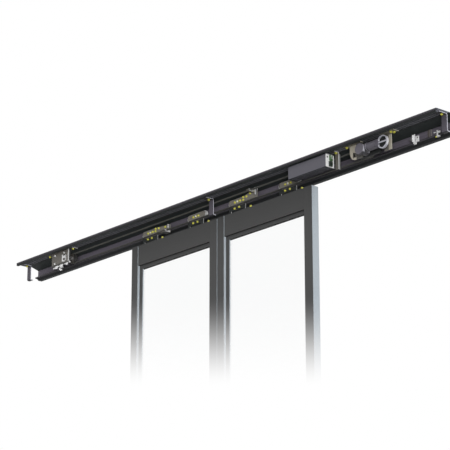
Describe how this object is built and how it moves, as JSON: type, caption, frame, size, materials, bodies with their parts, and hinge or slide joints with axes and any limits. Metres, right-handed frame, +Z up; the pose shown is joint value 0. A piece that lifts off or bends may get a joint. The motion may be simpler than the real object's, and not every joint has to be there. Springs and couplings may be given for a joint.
{
  "type": "sliding door operator",
  "caption": "Bi-parting sliding door operator with its cover off: header with track, belt drive, motor and control unit, and glazed leaves hung on carriages.",
  "frame": {"origin": "middle of the header's length, on the wall face at half the height of its back", "axes": "+X along the header to the motor end, +Y into the wall, +Z up"},
  "size_m": [4.2, 0.226, 2.231],
  "materials": {
    "dark_aluminium": "dark grey anodised, fine lengthwise flutes",
    "track_steel": "drawn steel rail",
    "strap_zinc": "grey coated sheet",
    "bracket_zinc": "warm grey plated sheet",
    "bright_zinc": "bright zinc plated",
    "yellow_zinc": "yellow passivated zinc",
    "belt_rubber": "moulded rubber",
    "pulley_alloy": "machined",
    "motor_grey": "grey paint",
    "gearbox_black": "black cast",
    "cage_white": "pale moulded",
    "bracket_beige": "beige paint",
    "control_grey": "grey paint",
    "panel_white": "white moulded",
    "terminal_green": "green moulded",
    "terminal_brown": "brown grey moulded",
    "wheel_nylon": "nylon",
    "frame_grey": "dark grey powder coat",
    "pane": "clear laminated",
    "seal_rubber": "black rubber"
  },
  "bodies": {
    "header": {"header_extrusion": "dark_aluminium", "running_track": "track_steel", "strap_left": "strap_zinc", "strap_middle": "strap_zinc", "strap_right": "strap_zinc", "drive_belt": "belt_rubber", "idler_bracket": "bracket_zinc", "idler_slider": "bracket_zinc", "idler_screws": "bright_zinc", "idler_axle": "bright_zinc", "tension_screw": "bright_zinc", "gear_housing": "motor_grey", "output_gearbox": "gearbox_black", "motor_body": "motor_grey", "motor_cage": "cage_white", "motor_front_bracket": "bracket_beige", "motor_rear_bracket": "bracket_beige", "control_housing": "control_grey", "control_end_panel": "panel_white", "control_connectors": "terminal_green", "control_bracket": "bracket_zinc", "left_end_stop": "bright_zinc", "right_end_stop": "bright_zinc", "terminal_block": "terminal_brown", "track_clamp": "bright_zinc", "flange_screws": "yellow_zinc"},
    "idler_wheel": {"idler_pulley": "pulley_alloy"},
    "drive_wheel": {"drive_pulley": "pulley_alloy"},
    "left_leaf": {"left_outer_carriage": "bracket_zinc", "left_inner_carriage": "bracket_zinc", "left_hangers": "bracket_zinc", "left_carriage_bolts": "yellow_zinc", "left_axle_studs": "bright_zinc", "left_belt_bracket": "bright_zinc", "left_outer_stile": "frame_grey", "left_meeting_stile": "frame_grey", "left_top_rail": "frame_grey", "left_bottom_rail": "frame_grey", "left_glass": "pane", "left_seals": "seal_rubber"},
    "left_inner_wheel_a_body": {"left_inner_wheel_a": "wheel_nylon"},
    "left_inner_wheel_b_body": {"left_inner_wheel_b": "wheel_nylon"},
    "left_outer_wheel_a_body": {"left_outer_wheel_a": "wheel_nylon"},
    "left_outer_wheel_b_body": {"left_outer_wheel_b": "wheel_nylon"},
    "right_leaf": {"right_outer_carriage": "bracket_zinc", "right_inner_carriage": "bracket_zinc", "right_hangers": "bracket_zinc", "right_carriage_bolts": "yellow_zinc", "right_axle_studs": "bright_zinc", "right_belt_bracket": "bright_zinc", "right_outer_stile": "frame_grey", "right_meeting_stile": "frame_grey", "right_top_rail": "frame_grey", "right_bottom_rail": "frame_grey", "right_glass": "pane", "right_seals": "seal_rubber"},
    "right_inner_wheel_a_body": {"right_inner_wheel_a": "wheel_nylon"},
    "right_inner_wheel_b_body": {"right_inner_wheel_b": "wheel_nylon"},
    "right_outer_wheel_a_body": {"right_outer_wheel_a": "wheel_nylon"},
    "right_outer_wheel_b_body": {"right_outer_wheel_b": "wheel_nylon"}
  },
  "joints": [
    {"name": "left_slide", "type": "slide", "parent": "header", "child": "left_leaf", "axis": [-1, 0, 0], "range_m": [0, 0.9]},
    {"name": "right_slide", "type": "slide", "parent": "header", "child": "right_leaf", "axis": [1, 0, 0], "range_m": [0, 0.9]},
    {"name": "idler_spin", "type": "hinge", "parent": "header", "child": "idler_wheel", "pos_m": [-1.56, -0.106, -0.015], "axis": [0, 1, 0], "continuous": true},
    {"name": "drive_spin", "type": "hinge", "parent": "header", "child": "drive_wheel", "pos_m": [1.444, -0.106, -0.015], "axis": [0, 1, 0], "continuous": true},
    {"name": "left_inner_wheel_a_spin", "type": "hinge", "parent": "left_leaf", "child": "left_inner_wheel_a_body", "pos_m": [-0.307, -0.054, -0.0077], "axis": [0, 1, 0], "continuous": true},
    {"name": "left_inner_wheel_b_spin", "type": "hinge", "parent": "left_leaf", "child": "left_inner_wheel_b_body", "pos_m": [-0.153, -0.054, -0.0077], "axis": [0, 1, 0], "continuous": true},
    {"name": "left_outer_wheel_a_spin", "type": "hinge", "parent": "left_leaf", "child": "left_outer_wheel_a_body", "pos_m": [-0.793, -0.054, -0.0077], "axis": [0, 1, 0], "continuous": true},
    {"name": "left_outer_wheel_b_spin", "type": "hinge", "parent": "left_leaf", "child": "left_outer_wheel_b_body", "pos_m": [-0.639, -0.054, -0.0077], "axis": [0, 1, 0], "continuous": true},
    {"name": "right_inner_wheel_a_spin", "type": "hinge", "parent": "right_leaf", "child": "right_inner_wheel_a_body", "pos_m": [0.115, -0.054, -0.0077], "axis": [0, 1, 0], "continuous": true},
    {"name": "right_inner_wheel_b_spin", "type": "hinge", "parent": "right_leaf", "child": "right_inner_wheel_b_body", "pos_m": [0.269, -0.054, -0.0077], "axis": [0, 1, 0], "continuous": true},
    {"name": "right_outer_wheel_a_spin", "type": "hinge", "parent": "right_leaf", "child": "right_outer_wheel_a_body", "pos_m": [0.601, -0.054, -0.0077], "axis": [0, 1, 0], "continuous": true},
    {"name": "right_outer_wheel_b_spin", "type": "hinge", "parent": "right_leaf", "child": "right_outer_wheel_b_body", "pos_m": [0.755, -0.054, -0.0077], "axis": [0, 1, 0], "continuous": true}
  ],
  "couplings": [
    {"joint": "right_slide", "follows": "left_slide", "ratio": 1},
    {"joint": "idler_spin", "follows": "left_slide", "rad_per_m": 28.571},
    {"joint": "drive_spin", "follows": "left_slide", "rad_per_m": 28.571},
    {"joint": "left_inner_wheel_a_spin", "follows": "left_slide", "rad_per_m": -50},
    {"joint": "left_inner_wheel_b_spin", "follows": "left_slide", "rad_per_m": -50},
    {"joint": "left_outer_wheel_a_spin", "follows": "left_slide", "rad_per_m": -50},
    {"joint": "left_outer_wheel_b_spin", "follows": "left_slide", "rad_per_m": -50},
    {"joint": "right_inner_wheel_a_spin", "follows": "left_slide", "rad_per_m": 50},
    {"joint": "right_inner_wheel_b_spin", "follows": "left_slide", "rad_per_m": 50},
    {"joint": "right_outer_wheel_a_spin", "follows": "left_slide", "rad_per_m": 50},
    {"joint": "right_outer_wheel_b_spin", "follows": "left_slide", "rad_per_m": 50}
  ]
}
